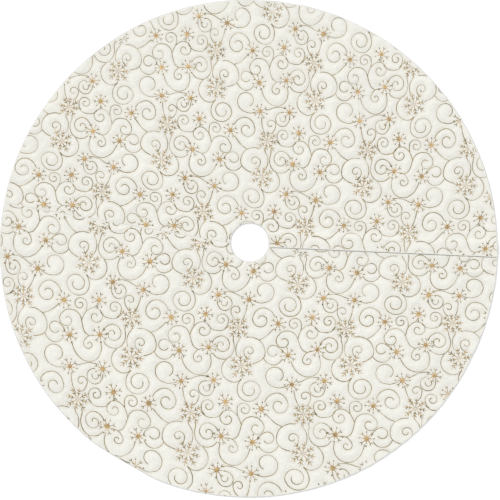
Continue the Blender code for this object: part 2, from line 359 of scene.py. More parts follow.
def line_distance(points, tree):
    """How far each point is from the nearest gold line."""
    flat = points.reshape(-1, 2)
    found = [tree.find((p[0], p[1], 0.0))[2] for p in flat.tolist()]
    return np.array(found).reshape(points.shape[:-1])


def pile_rise(points, tree, upper):
    """How far the pile stands over the plain face: full between gold lines, pressed under them."""
    x, y = points[..., 0], points[..., 1]
    away = line_distance(points, tree)
    rise = 1.9 * MM * (1.0 - np.exp(-((away / (9.0 * MM)) ** 2)))
    rise = rise + 0.55 * MM * ripples(x, y, 0.110, 4) + 0.28 * MM * ripples(x, y, 0.045, 9)
    rise = rise + 0.16 * MM * ripples(x, y, 0.021, 12)
    seam_off = np.abs((points - SEAM_START) @ SEAM_NORMAL)
    by_seam = np.where(points @ SEAM_HEADING > 0.0, smooth_step(seam_off / (14.0 * MM)), 1.0)
    rise = rise * (0.15 + 0.85 * by_seam)
    # The flap's edge is pressed thinner, and the edge that it meets stands up beside it.
    off_slit = np.abs(y - SLIT_Y) / (16.0 * MM)
    step = -0.7 if upper else 1.0
    rise = rise + np.where(x > 0.0, step * MM * (1.0 - smooth_step(off_slit)), 0.0)
    for start, end, width, height in CREASES:
        rise = rise + height * MM * crease(x, y, start, end, width * MM)
    return np.maximum(rise - 1.1 * MM, -1.6 * MM)


# ---------------------------------------------------------------- meshes


def new_piece(name, verts, faces, material):
    """A mesh object from points and faces, at the origin."""
    mesh = bpy.data.meshes.new(name)
    mesh.from_pydata([tuple(v) for v in verts], [], faces)
    mesh.materials.append(material)
    mesh.polygons.foreach_set("use_smooth", [True] * len(mesh.polygons))
    mesh.update()
    piece = bpy.data.objects.new(name, mesh)
    bpy.context.scene.collection.objects.link(piece)
    return piece


def cell_outline(i0, i1, j0, j1, rows, columns):
    """The corners of a coarse cell, with every fine point where it runs along the border."""
    path = [(i, j0) for i in (range(i0, i1) if j0 == 0 else (i0,))]
    path += [(i1, j) for j in (range(j0, j1) if i1 == rows else (j0,))]
    path += [(i, j1) for i in (range(i1, i0, -1) if j1 == columns else (i1,))]
    path += [(i0, j) for j in (range(j1, j0, -1) if i0 == 0 else (j1,))]
    return path


def cloth_shell(top, loops, under, row_step, column_step, upper):
    """A closed cloth from its top grid, the loops round its edge, and a coarse grid below."""
    rows, columns = top.shape[0] - 1, top.shape[1] - 1
    number = np.arange(top.shape[0] * top.shape[1]).reshape(top.shape[:2])
    quads = np.stack((number[:-1, :-1], number[1:, :-1], number[1:, 1:], number[:-1, 1:]), -1)
    faces = quads.reshape(-1, 4).tolist()
    verts = [top.reshape(-1, 3)]
    ring = round_border(number[..., None])[:, 0]
    count = number.size
    for loop in loops:
        following = np.arange(count, count + len(loop))
        count += len(loop)
        ahead, far = np.roll(ring, -1), np.roll(following, -1)
        faces += np.stack((ahead, ring, following, far), 1).tolist()
        verts.append(loop)
        ring = following
    places = np.stack(np.meshgrid(range(rows + 1), range(columns + 1), indexing="ij"), -1)
    at = {tuple(place): vert for place, vert in zip(round_border(places).tolist(), ring.tolist())}
    inner = []
    for i in range(row_step, rows, row_step):
        for j in range(column_step, columns, column_step):
            at[(i, j)] = count + len(inner)
            inner.append(under[i, j])
    if inner:
        verts.append(np.array(inner))
    for i in range(0, rows, row_step):
        for j in range(0, columns, column_step):
            outline = cell_outline(i, i + row_step, j, j + column_step, rows, columns)
            faces.append([at[place] for place in reversed(outline)])
    if not upper:
        faces = [face[::-1] for face in faces]
    return np.concatenate(verts), faces


def store(piece, name, kind, domain, values):
    """Adds a named attribute to a piece's mesh."""
    attribute = piece.data.attributes.new(name, kind, domain)
    attribute.data.foreach_set("value", values)


def plan_area(points):
    """The area of a rows by columns grid seen from above."""
    a = points[1:, 1:, :2] - points[:-1, :-1, :2]
    b = points[:-1, 1:, :2] - points[1:, :-1, :2]
    return float(np.abs(a[..., 0] * b[..., 1] - a[..., 1] * b[..., 0]).sum() / 2)


def with_height(points, height):
    """Plan points with their heights added."""
    return np.concatenate((points, np.broadcast_to(height, points.shape[:-1])[..., None]), -1)


REGIONS = (
    # name, upper half, first and last column, the body that it rides on or the two bodies at its
    # fold
    ("lower", False, 0, COLUMNS, ("lower_half",)),
    ("upper", True, SPLIT_COLUMN, COLUMNS, ("lower_half", "upper_half")),
    ("flap", True, 0, SPLIT_COLUMN, ("upper_half", "opening_flap")),
)


def follow(piece, bodies):
    """The piece rides on its body; one that lies across a fold between two bodies only has its
    transform applied.
    """
    if len(bodies) == 1:
        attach(piece, bodies[0])
        return
    if bodies[0] == "lower_half":
        start, into = SEAM_START, SEAM_NORMAL
    else:
        start, into = FLAP_START, -FLAP_NORMAL
    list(start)
    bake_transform(piece)


# ---------------------------------------------------------------- the print


def through(points, step):
    """A smooth curve through points, with a point about every step."""
    p = np.array(points, float)
    p = np.concatenate(([2 * p[0] - p[1]], p, [2 * p[-1] - p[-2]]))
    found = []
    for a, b, c, d in zip(p, p[1:], p[2:], p[3:]):
        count = max(1, round(math.hypot(*(c - b)) / step))
        t = np.arange(count)[:, None] / count
        found.append(
            0.5 * (2 * b + (c - a) * t + (2 * a - 5 * b + 4 * c - d) * t**2
                   + (3 * b - a - 3 * c + d) * t**3)
        )
    return np.concatenate((*found, [p[-2]]))


def scroll_line(stem, curl):
    """One scroll of a cell: its stem, running on into a curl that winds in."""
    line = through(stem, FINE_STEP)
    if curl is None:
        return line
    centre, last_radius, turns = curl
    first = line[-1] - np.array(centre)
    radius = math.hypot(*first)
    begin = math.atan2(first[1], first[0])
    length = math.tau * abs(turns) * (radius + last_radius) / 2
    share = np.linspace(0.0, 1.0, max(4, round(length / FINE_STEP)))[1:]
    angles = begin + math.tau * turns * share
    radii = radius + (last_radius - radius) * share
    wound = np.stack((np.cos(angles), np.sin(angles)), 1) * radii[:, None] + centre
    return np.concatenate((line, wound))


def lay(points, how):
    """Points of the repeat, in millimetres, where the cut and sewn panel has them, in metres."""
    across = points[..., 0] * MM * how["across"]
    along = points[..., 1] * MM * how["along"]
    a = across * (1.0 - how["growth"] * along)
    q = along - how["growth"] * along**2 / 2
    x = how["x"] + a + how["lean"] * q + how["stretch"] * a**2 + how["skew"] * q**2
    y = how["y"] + q + how["slope"] * a + how["bow"] * a**2 + how["sway"] * a**3
    return np.stack((x, y + how["twist"] * a * q + how["crowd"] * q**2), -1)


def on_panel(sizes, points, upper, margin):
    """Which points lie on a half of the skirt, at least the margin inside its edges."""
    x, y = points[..., 0], points[..., 1]
    edge_margin = 2.2 * MM + margin
    inside = np.hypot(x, y) < RIM_RADIUS - edge_margin
    neck = np.hypot(x - sizes.neck_x, y - sizes.neck_y)
    inside &= neck > sizes.neck_diameter / 2 + edge_margin
    side = 1.0 if upper else -1.0
    off_seam = (points - SEAM_START) @ SEAM_NORMAL * side
    off_slit = (y - SLIT_Y) * side
    past_seam = (x < sizes.neck_x) & (off_seam > 0.7 * MM + margin)
    past_slit = (x >= sizes.neck_x) & (off_slit > 1.6 * MM + margin)
    return inside & (past_seam | past_slit)


class Cell:
    """One cell of the print on one panel: where its points come, and how large it is there."""

    def __init__(self, place, mirrored, upper):
        self.place = place
        self.mirrored = mirrored
        self.upper = upper
        self.layout = UPPER_LAY if upper else LOWER_LAY
        self.across, along = self.in_repeat(CELL_MIDDLE) * MM
        self.scale = (1.0 - self.layout["growth"] * along) * self.layout["across"]

    def in_repeat(self, points):
        points = np.array(points, float)
        if self.mirrored:
            points = points * (-1.0, 1.0) + (MIRROR_ACROSS, -MIRROR_DROP)
        return points + self.place

    def laid(self, points):
        """Points of the cell, in millimetres, where the panel has them, in metres."""
        return lay(self.in_repeat(points), self.layout)

    def is_near(self):
        off_middle = math.hypot(*self.laid(CELL_MIDDLE))
        return off_middle <= RIM_RADIUS + CELL_REACH and abs(self.across) <= MOST_ACROSS


def cells():
    """Every cell of the print that can reach its panel, the upper panel's first."""
    for upper in (True, False):
        for column in range(-5, 6):
            for row in range(-3, 4):
                for mirrored in (False, True):
                    place = np.array((column * REPEAT_WIDTH, row * REPEAT_HEIGHT))
                    cell = Cell(place, mirrored, upper)
                    if cell.is_near():
                        yield cell


def dash(start, end):
    """A short straight stroke."""
    return [start, (start + end) / 2, end]


def arm_directions(turn, spread, rng):
    """For each of a snowflake's eight arms: the ways along it and across it."""
    for arm in range(8):
        angle = turn + math.tau * arm / 8 + rng.uniform(-spread, spread)
        out = np.array((math.cos(angle), math.sin(angle)))
        yield arm, out, np.array((-out[1], out[0]))


def small_flake_strokes(middle, turn, rng, radius=17.5):
    """A small snowflake's arms and its forked or dotted tips, each as (points, half width)."""
    arms, tips = [], []
    for arm, out, across in arm_directions(turn, 0.06, rng):
        reach = radius * rng.uniform(0.94, 1.08)
        arms.append((dash(middle + out * 3.5, middle + out * reach * 0.66), 0.85))
        if arm % 2:
            for side in (-1, 1):
                tip = middle + out * reach * 1.02 + across * side * 3.2
                tips.append((dash(middle + out * reach * 0.70, tip), 0.75))
        else:
            tips.append((dash(middle + out * reach * 0.80, middle + out * reach * 1.02), 1.3))
    return arms, tips


def large_flake_strokes(middle, radius, turn, rng):
    """A large open snowflake's arms, and its branches in pairs, each as (points, half width)."""
    arms, tips = [], []
    for arm, out, across in arm_directions(turn, 0.05, rng):
        reach = radius * (1.06 if arm % 2 else 0.94) * rng.uniform(0.96, 1.04)
        arms.append(([middle + out * reach * at for at in (0.07, 0.3, 0.55, 0.8, 1.0)], 0.75))
        for at, length in ((0.40, 0.17), (0.64, 0.19)):
            for side in (-1, 1):
                tip = middle + out * reach * (at + length) + across * side * reach * length
                tips.append((dash(middle + out * reach * at, tip), 0.75))
    return arms, tips


class Strokes:
    """The gold print of one region, in plan, each line with its half widths.

    Lines are the scrolls and the branches and tips of snowflakes, all in the duller gold. Arms and
    discs are the arms and the solid middles of snowflakes.
    """

    def __init__(self):
        self.lines = []
        self.arms = []
        self.discs = []


def runs_of(mask):
    """(first, last) of each unbroken run of True."""
    edges = np.flatnonzero(np.diff(np.concatenate(([False], mask, [False])).astype(int)))
    return list(zip(edges[::2], edges[1::2]))


def regions_of(sizes, points, upper):
    """The name of the region that each point of a panel lies in."""
    if not upper:
        return np.full(len(points), "lower")
    neck, rim = edge_curves(sizes, True, np.array([0.5]), 0.0, 0.0, 0.0)
    run = rim[0] - neck[0]
    off = points - neck[0]
    return np.where(run[0] * off[:, 1] - run[1] * off[:, 0] > 0, "upper", "flap")


def cut_by_region(sizes, line, kept, upper):
    """(region, first, last) of each kept stretch of a line, cut where it crosses the fold."""
    names = regions_of(sizes, line, upper)
    for name in sorted(set(names.tolist())):
        for first, last in runs_of(kept & (names == name)):
            goes_on = last < len(line) and kept[last]
            yield name, first, last + 1 if goes_on else last


def in_a_bend(points, upper):
    """Whether any of these points lies on cloth that bends at a fold."""
    past_seam = (points - SEAM_START) @ SEAM_NORMAL
    past_fold = (points - FLAP_START) @ -FLAP_NORMAL
    near = (past_seam < FOLD_WIDTH) | ((past_fold > -1 * MM) & (past_fold < FOLD_WIDTH))
    return bool(upper and near.any())


def add_scrolls(found, sizes, cell, scrolls, line_width, rng):
    """Adds the stretches of a cell's scrolls that lie on its panel."""
    for scroll in scrolls:
        line = cell.laid(scroll)
        kept = on_panel(sizes, line, cell.upper, SCROLL_MARGIN)
        weight = rng.uniform(0.8, 1.12) * cell.scale * line_width / 2
        thin_at, thin_reach = rng.uniform(0.1, 0.9), rng.uniform(0.15, 0.4)
        for region, first, last in cut_by_region(sizes, line, kept, cell.upper):
            if last - first < LEAST_POINTS:
                continue
            step = 1 if in_a_bend(line[first:last], cell.upper) else COARSE_STEP
            picked = np.unique(np.append(np.arange(first, last, step), last - 1))
            thinned = bump_at(picked / len(line), thin_at, thin_reach)
            found[region].lines.append((line[picked], weight * (1.0 - 0.5 * thinned)))


def add_strokes(found, sizes, cell, strokes, kind, flake_weight):
    """Adds those of a flake's strokes that lie wholly on its panel, as lines or as arms."""
    for points, half_width in strokes:
        line = cell.laid(points)
        if not on_panel(sizes, line, cell.upper, FLAKE_MARGIN).all():
            continue
        if in_a_bend(line, cell.upper):
            line = cell.laid(through(points, FINE_STEP))
        width = half_width * MM * cell.scale * flake_weight
        every = np.full(len(line), True)
        for region, first, last in cut_by_region(sizes, line, every, cell.upper):
            if last - first > 1:
                stretch = (line[first:last], np.full(last - first, width))
                getattr(found[region], kind).append(stretch)


def add_disc(found, sizes, cell, centre, turn):
    """Adds a small flake's solid middle, made smaller by the panel's edge or left out on it."""
    middle = cell.laid(centre)
    for inset, radius in DISC_SIZES:
        if on_panel(sizes, middle, cell.upper, inset * MM):
            region = regions_of(sizes, middle[None], cell.upper)[0]
            found[region].discs.append((middle, radius * MM * cell.scale, turn))
            return


def print_layout(sizes, design):
    """The whole print by region, clipped to the panels."""
    found = {name: Strokes() for name, *_ in REGIONS}
    rng = np.random.default_rng(PRINT_SEED)
    scrolls = [scroll_line(stem, curl) for stem, curl in SCROLLS]
    for cell in cells():
        add_scrolls(found, sizes, cell, scrolls, design.line_width, rng)
        for at, turn in SMALL_FLAKES:
            centre = np.array(at, float)
            turn = turn + rng.uniform(-0.2, 0.2)
            arms, tips = small_flake_strokes(centre, turn, rng)
            add_strokes(found, sizes, cell, arms, "arms", design.flake_weight)
            add_strokes(found, sizes, cell, tips, "lines", design.flake_weight)
            add_disc(found, sizes, cell, centre, turn)
        for at, radius, turn in LARGE_FLAKES:
            turn = turn + rng.uniform(-0.2, 0.2)
            arms, branches = large_flake_strokes(np.array(at, float), radius, turn, rng)
            add_strokes(found, sizes, cell, arms, "arms", design.flake_weight)
            add_strokes(found, sizes, cell, branches, "lines", design.flake_weight)
    return found


def pressed_places(found):
    """A tree of the places where the print presses the pile."""
    points = []
    for strokes in found.values():
        for line, _ in strokes.lines + strokes.arms:
            points.extend(line.tolist())
        points.extend(middle.tolist() for middle, _, _ in strokes.discs)
    tree = kdtree.KDTree(len(points))
    for number, point in enumerate(points):
        tree.insert((point[0], point[1], 0.0), number)
    tree.balance()
    return tree


def foil_line(plan, widths, height, proud):
    """Points and faces of one foil line: a low closed ridge with narrow ends."""
    heading = np.gradient(plan, axis=0)
    heading /= np.maximum(np.linalg.norm(heading, axis=1), 1e-9)[:, None]
    across = np.stack((-heading[:, 1], heading[:, 0]), 1)
    taper = np.ones(len(plan))
    taper[[0, -1]] = 0.6
    reach = across * (widths * taper)[:, None]
    left = with_height(plan + reach, 0.0)
    right = with_height(plan - reach, 0.0)
    crown = with_height(plan, 0.0)
    left[:, 2] = height - 0.15 * proud
    right[:, 2] = height - 0.15 * proud
    crown[:, 2] = height + proud * (0.4 + 0.6 * taper)
    keel = crown.copy()
    keel[:, 2] = height - 1.2 * proud
    verts = np.stack((left, crown, right, keel), 1).reshape(-1, 3)
    first = np.arange(len(plan) - 1)[:, None] * 4
    faces = []
    for k in range(4):
        n = (k + 1) % 4
        faces.append(np.concatenate((first + k, first + n, first + 4 + n, first + 4 + k), 1))
    last = (len(plan) - 1) * 4
    ends = np.array([[3, 2, 1, 0], [last, last + 1, last + 2, last + 3]])
    return verts, np.concatenate((*faces, ends)).tolist()


def foil_disc(middle, radius, turn, height, proud):
    """Points and faces of a flake's solid middle: a low dome with a toothed edge."""
    teeth = 16
    angles = turn + math.tau * np.arange(teeth) / teeth
    toothed = np.where(np.arange(teeth) % 2, -0.26, 0.12)
    around = np.stack((np.cos(angles), np.sin(angles)), 1)
    # The rings from the crown, over the toothed edge and back under to the keel: each one's share
    # of the radius, and its rise.
    rings = (
        (0.2, 1.2), (0.4, 1.1), (0.6, 0.85), (0.8, 0.5), (1.0, -0.15),
        (0.75, -0.45), (0.5, -0.75), (0.25, -1.0),
    )
    layers = [with_height(middle[None], height + 1.3 * proud)]
    for share, rise in rings:
        spread = radius * share * (1.0 + toothed * share)
        layers.append(with_height(middle + around * spread[:, None], height + rise * proud))
    layers.append(with_height(middle[None], height - 1.2 * proud))
    last = 1 + (len(rings) - 1) * teeth
    faces = []
    for k in range(teeth):
        n = (k + 1) % teeth
        faces.append([1 + k, 1 + n, 0])
        for ring in range(1, last, teeth):
            faces.append([ring + teeth + k, ring + teeth + n, ring + n, ring + k])
        faces.append([last + n, last + k, last + teeth])
    return np.concatenate(layers), faces


def gather(pieces):
    """Points and faces of many small pieces as one mesh."""
    verts, faces, count = [], [], 0
    for piece_verts, piece_faces in pieces:
        verts.append(piece_verts)
        faces += [[vert + count for vert in face] for face in piece_faces]
        count += len(piece_verts)
    return np.concatenate(verts), faces


# ---------------------------------------------------------------- materials


class Nodes:
    """A new material and short ways to add and link its nodes."""

    def __init__(self, name):
        self.material = bpy.data.materials.new(name)
        self.material.use_nodes = True
        self.tree = self.material.node_tree
        self.shader = self.tree.nodes["Principled BSDF"]

    def add(self, kind, **inputs):
        node = self.tree.nodes.new(kind)
        for name, value in inputs.items():
            node.inputs[name.replace("_", " ")].default_value = value
        return node

    def link(self, output, target):
        self.tree.links.new(output, target)

    def noise(self, scale, detail=3.0, roughness=0.6):
        node = self.add("ShaderNodeTexNoise", Scale=scale, Detail=detail, Roughness=roughness)
        self.link(self.where(), node.inputs["Vector"])
        return node.outputs["Fac"]

    def where(self):
        found = self.tree.nodes.get("where") or self.tree.nodes.new("ShaderNodeTexCoord")
        found.name = "where"
        return found.outputs["Object"]

    def ramp(self, value, stops):
        node = self.tree.nodes.new("ShaderNodeValToRGB")
        elements = node.color_ramp.elements
        while len(elements) < len(stops):
            elements.new(0.5)
        for element, (place, colour) in zip(elements, stops):
            element.position = place
            element.color = (*colour, 1.0)
        self.link(value, node.inputs["Fac"])
        return node.outputs["Color"]

    def greys(self, value, low, high, places=(0.3, 0.7)):
        return self.ramp(value, ((places[0], (low,) * 3), (places[1], (high,) * 3)))

    def mix(self, share, a, b, how="MIX"):
        node = self.tree.nodes.new("ShaderNodeMix")
        node.data_type = "RGBA"
        node.blend_type = how
        for socket, value in ((node.inputs[0], share), (node.inputs[6], a), (node.inputs[7], b)):
            if isinstance(value, bpy.types.NodeSocket):
                self.link(value, socket)
            else:
                socket.default_value = value
        return node.outputs[2]

    def maths(self, how, a, b):
        node = self.tree.nodes.new("ShaderNodeMath")
        node.operation = how
        for socket, value in zip(node.inputs, (a, b)):
            if isinstance(value, bpy.types.NodeSocket):
                self.link(value, socket)
            else:
                socket.default_value = value
        return node.outputs[0]

    def bump(self, height, distance, strength=1.0, under=None):
        node = self.add("ShaderNodeBump", Distance=distance, Strength=strength)
        self.link(height, node.inputs["Height"])
        if under is not None:
            self.link(under, node.inputs["Normal"])
        return node.outputs["Normal"]

    def finish(self, colour, rough, normal, **uniform):
        self.link(colour, self.shader.inputs["Base Color"])
        self.link(rough, self.shader.inputs["Roughness"])
        self.link(normal, self.shader.inputs["Normal"])
        for name, value in uniform.items():
            self.shader.inputs[name.replace("_", " ")].default_value = value
        return self.material


def shaded(colour, factor):
    return tuple(min(1.0, part * factor) for part in colour)


def plush_material(colour):
    nodes = Nodes("cream_plush")
    broad = nodes.ramp(
        nodes.noise(9.0, 4.0), ((0.30, shaded(colour, 0.955)), (0.70, shaded(colour, 1.01)))
    )
    mottle = nodes.greys(nodes.noise(170.0, 4.0, 0.7), 0.93, 1.0, (0.32, 0.68))
    tufts = nodes.ramp(
        nodes.noise(900.0, 3.0, 0.7), ((0.30, (0.88, 0.875, 0.865)), (0.62, (1, 1, 1)))
    )
    tint = nodes.mix(1.0, broad, mottle, "MULTIPLY")
    tint = nodes.mix(1.0, tint, tufts, "MULTIPLY")
    # The pressed pile's tone with painted shade: a darker, warmer tint in the grooves that the
    # print presses into the pile.
    pressed = nodes.tree.nodes.new("ShaderNodeAttribute")
    pressed.attribute_name = "pressed"
    flat = nodes.mix(1.0, tint, (0.94, 0.92, 0.90, 1.0), "MULTIPLY")
    tint = nodes.mix(pressed.outputs["Fac"], tint, flat)
    # Painted shade on the rounded edges: a blue-grey darkening of the hem's roll, where it turns
    # away from the light.
    edge_shade = nodes.tree.nodes.new("ShaderNodeAttribute")
    edge_shade.attribute_name = "edge_shade"
    shaded_edge_tint = nodes.mix(1.0, tint, (0.74, 0.75, 0.80, 1.0), "MULTIPLY")
    tint = nodes.mix(edge_shade.outputs["Fac"], tint, shaded_edge_tint)
    rough = nodes.greys(nodes.noise(400.0), 0.88, 0.98)
    lumps = nodes.bump(nodes.noise(120.0, 3.0), 0.0016, 0.7)
    pile = nodes.bump(nodes.noise(900.0, 4.0, 0.75), 0.0007, 0.9, lumps)
    return nodes.finish(
        tint, rough, pile, Sheen_Weight=0.35, Sheen_Roughness=0.5, Specular_IOR_Level=0.2
    )


def weave(nodes, pitch):
    """Crossed threads as a height, over and under each other."""
    where = nodes.tree.nodes.new("ShaderNodeSeparateXYZ")
    nodes.link(nodes.where(), where.inputs[0])
    turns = math.tau / pitch
    warp = nodes.maths("SINE", nodes.maths("MULTIPLY", where.outputs["X"], turns), 0.0)
    weft = nodes.maths("SINE", nodes.maths("MULTIPLY", where.outputs["Y"], turns), 0.0)
    crossed = nodes.maths("MULTIPLY", warp, weft)
    return nodes.maths("MULTIPLY_ADD", crossed, 0.5)


def woven_material(name, colour, pitch, rough_value, sheen):
    nodes = Nodes(name)
    threads = weave(nodes, pitch)
    uneven = nodes.ramp(nodes.noise(60.0, 4.0), ((0.3, shaded(colour, 0.93)), (0.7, colour)))
    # Painted shade in the gaps between the crossed threads: darker where the weave's height is low.
    gap_shade = nodes.ramp(threads, ((0.02, (0.86, 0.85, 0.83)), (0.5, (1, 1, 1))))
    tint = nodes.mix(1.0, uneven, gap_shade, "MULTIPLY")
    rough = nodes.greys(nodes.noise(300.0), rough_value - 0.08, rough_value)
    slubs = nodes.bump(nodes.noise(500.0, 3.0), 0.0002, 0.6)
    relief = nodes.bump(threads, 0.00018, 0.8, slubs)
    return nodes.finish(tint, rough, relief, Sheen_Weight=sheen, Specular_IOR_Level=0.35)


def fuzzy_material(name, colour, scale, depth):
    nodes = Nodes(name)
    clumps = nodes.noise(scale, 4.0, 0.7)
    # Painted shade between the clumps: darker where their relief is low.
    tint = nodes.ramp(clumps, ((0.3, shaded(colour, 0.82)), (0.65, colour)))
    rough = nodes.greys(clumps, 0.9, 0.75)
    relief = nodes.bump(clumps, depth, 0.9)
    return nodes.finish(tint, rough, relief, Sheen_Weight=0.2)


def thread_material(colour):
    nodes = Nodes("sewing_thread")
    twist = nodes.tree.nodes.new("ShaderNodeTexWave")
    twist.bands_direction = "DIAGONAL"
    twist.inputs["Scale"].default_value = 900.0
    twist.inputs["Distortion"].default_value = 1.5
    nodes.link(nodes.where(), twist.inputs["Vector"])
    # Painted shade in the grooves of the twist: darker where the twist's relief is low.
    tint = nodes.ramp(twist.outputs["Fac"], ((0.1, shaded(colour, 0.80)), (0.6, colour)))
    rough = nodes.greys(nodes.noise(700.0), 0.6, 0.75)
    relief = nodes.bump(twist.outputs["Fac"], 0.0001, 0.8)
    return nodes.finish(tint, rough, relief, Sheen_Weight=0.15)


def foil_material(name, dark, light, metal):
    """Printed glitter: fine flakes of two gold tones, some duller than others."""
    nodes = Nodes(name)
    flakes = nodes.add("ShaderNodeTexVoronoi", Scale=1600.0)
    nodes.link(nodes.where(), flakes.inputs["Vector"])
    glints = nodes.tree.nodes.new("ShaderNodeSeparateColor")
    nodes.link(flakes.outputs["Color"], glints.inputs[0])
    patches = nodes.noise(75.0, 3.0, 0.65)
    share = nodes.maths("MULTIPLY_ADD", glints.outputs[0], 0.35)
    share.node.inputs[2].default_value = -0.17
    toned = nodes.maths("ADD", patches, share)
    tint = nodes.ramp(toned, ((0.36, dark), (0.66, light)))
    rough = nodes.greys(glints.outputs[1], 0.30, 0.55, (0.0, 1.0))
    relief = nodes.bump(glints.outputs[2], 0.00022, 0.8)
    return nodes.finish(tint, rough, relief, Metallic=metal, Specular_IOR_Level=0.6)


# ---------------------------------------------------------------- small modelled pieces


def deselect():
    if bpy.context.mode != "OBJECT":
        bpy.ops.object.mode_set(mode="OBJECT")
    bpy.ops.object.select_all(action="DESELECT")


def taken(piece):
    """The points and faces of a piece that was modelled once, which is then removed."""
    bpy.ops.object.transform_apply(location=True, rotation=True, scale=True)
    verts = np.array([v.co for v in piece.data.vertices])
    faces = [list(p.vertices) for p in piece.data.polygons]
    mesh = piece.data
    bpy.data.objects.remove(piece)
    bpy.data.meshes.remove(mesh)
    return verts, faces


def modelled_stitch(length, thickness):
    """One stitch along X: a fat middle and thinner ends."""
    deselect()
    bpy.ops.mesh.primitive_cylinder_add(
        vertices=6, radius=thickness / 2, depth=length, rotation=(0.0, math.pi / 2, 0.0)
    )
    piece = bpy.context.active_object
    bpy.ops.object.transform_apply(location=True, rotation=True, scale=True)
    bpy.ops.object.mode_set(mode="EDIT")
    for shoulder in (length * 0.28, -length * 0.28):
        bpy.ops.mesh.select_all(action="SELECT")
        bpy.ops.mesh.bisect(plane_co=(shoulder, 0, 0), plane_no=(1, 0, 0))
    bpy.ops.object.mode_set(mode="OBJECT")
    for vert in piece.data.vertices:
        if abs(vert.co.x) > length * 0.4:
            vert.co.y *= 0.5
            vert.co.z *= 0.5
    return taken(piece)


def modelled_loop():
    """One loop of the soft tape: a ring of yarn, whose lower half sinks into the web."""
    deselect()
    bpy.ops.mesh.primitive_torus_add(
        major_segments=8, minor_segments=4, major_radius=0.42 * MM, minor_radius=0.11 * MM,
        rotation=(math.pi / 2, 0.0, 0.0),
    )
    return taken(bpy.context.active_object)


def modelled_hook():
    """One hook of the stiff tape: a stem that leans over into a short barb."""
    deselect()
    bpy.ops.mesh.primitive_cylinder_add(vertices=5, radius=0.16 * MM, depth=0.40 * MM)
    piece = bpy.context.active_object
    bpy.ops.object.mode_set(mode="EDIT")
    for x, z in ((0.10, 0.12), (0.20, -0.02)):
        bpy.ops.mesh.select_all(action="DESELECT")
        bpy.ops.object.mode_set(mode="OBJECT")
        tips = [p for p in piece.data.polygons if len(p.vertices) == 5]
        tip = max(tips, key=lambda p: p.center.z + p.center.x)
        tip.select = True
        bpy.ops.object.mode_set(mode="EDIT")
        bpy.ops.mesh.extrude_region_move(TRANSFORM_OT_translate={"value": (x * MM, 0, z * MM)})
        bpy.ops.transform.resize(value=(0.8, 0.8, 0.8))
    bpy.ops.object.mode_set(mode="OBJECT")
    return taken(piece)


def modelled_tape_base(low, high, material, name):
    """The woven base of a tape, with rounded corners and soft selvedges."""
    deselect()
    size = high - low
    bpy.ops.mesh.primitive_cube_add(size=1.0, location=(low + high) / 2)
    piece = bpy.context.active_object
    piece.scale = size
    bpy.ops.object.transform_apply(location=True, rotation=True, scale=True)
    bpy.ops.object.mode_set(mode="EDIT")
    bpy.ops.mesh.select_mode(type="EDGE")
    bpy.ops.mesh.select_all(action="DESELECT")
    bpy.ops.object.mode_set(mode="OBJECT")
    for edge in piece.data.edges:
        a, b = (piece.data.vertices[v].co for v in edge.vertices)
        edge.select = abs(a.z - b.z) > size.z / 2
    bpy.ops.object.mode_set(mode="EDIT")
    bpy.ops.mesh.bevel(offset=1.5 * MM, segments=5)
    bpy.ops.mesh.select_mode(type="FACE")
    bpy.ops.mesh.select_all(action="DESELECT")
    bpy.ops.object.mode_set(mode="OBJECT")
    for face in piece.data.polygons:
        face.select = abs(face.normal.z) > 0.9
    bpy.ops.object.mode_set(mode="EDIT")
    bpy.ops.mesh.inset(thickness=1.1 * MM, depth=0.0)
    bpy.ops.object.mode_set(mode="OBJECT")
    bevel = piece.modifiers.new("soft edges", "BEVEL")
    bevel.width = 0.12 * MM
    bevel.segments = 2
    bevel.limit_method = "ANGLE"
    bpy.ops.object.modifier_apply(modifier=bevel.name)
    bpy.ops.object.shade_smooth_by_angle(angle=math.radians(40))
    piece.name = name
    piece.data.name = name
    piece.data.materials.append(material)
    return piece


def placed(model, places, headings):
    """Copies of a modelled shape at places in space, each turned to a heading in plan."""
    verts, faces = model
    x, y, z = verts.T
    found = []
    for place, turn in zip(places, headings):
        c, s = math.cos(turn), math.sin(turn)
        found.append((np.stack((x * c - y * s, x * s + y * c, z), 1) + place, faces))
    return gather(found)


def spaced(path, pitch, first):
    """Points at even distances along a path in plan, first from its ends, and the headings."""
    steps = np.linalg.norm(np.diff(path, axis=0), axis=1)
    run = np.concatenate(([0.0], np.cumsum(steps)))

    def at(distances):
        return np.stack([np.interp(distances, run, path[:, axis]) for axis in (0, 1)], 1)

    length = run[-1] - 2 * first
    count = max(1, int(length / pitch))
    distances = first + (np.arange(count) + 0.5) * length / count
    ahead = at(distances + pitch / 4) - at(distances - pitch / 4)
    return at(distances), np.arctan2(ahead[:, 1], ahead[:, 0])


# ---------------------------------------------------------------- settings


class SkirtSizes(bpy.types.PropertyGroup):
    """Sizes of the cloth that the frame doesn't give."""

    neck_diameter: bpy.props.FloatProperty(
        name="Neck diameter", description="Width of the hole for the trunk",
        default=0.093, min=0.02, unit="LENGTH",
    )
    neck_x: bpy.props.FloatProperty(
        name="Neck X", description="Middle of the hole, along the slit",
        default=0.002, unit="LENGTH", precision=4,
    )
    neck_y: bpy.props.FloatProperty(
        name="Neck Y", description="Middle of the hole, across the slit",
        default=0.015, unit="LENGTH", precision=4,
    )
    hem_width: bpy.props.FloatProperty(
        name="Hem width", description="Plush turned under at a free edge",
        default=0.005, unit="LENGTH", precision=4,
    )
    stitch_pitch: bpy.props.FloatProperty(
        name="Stitch pitch", description="Distance from one slip stitch to the next",
        default=0.0065, unit="LENGTH", precision=4,
    )


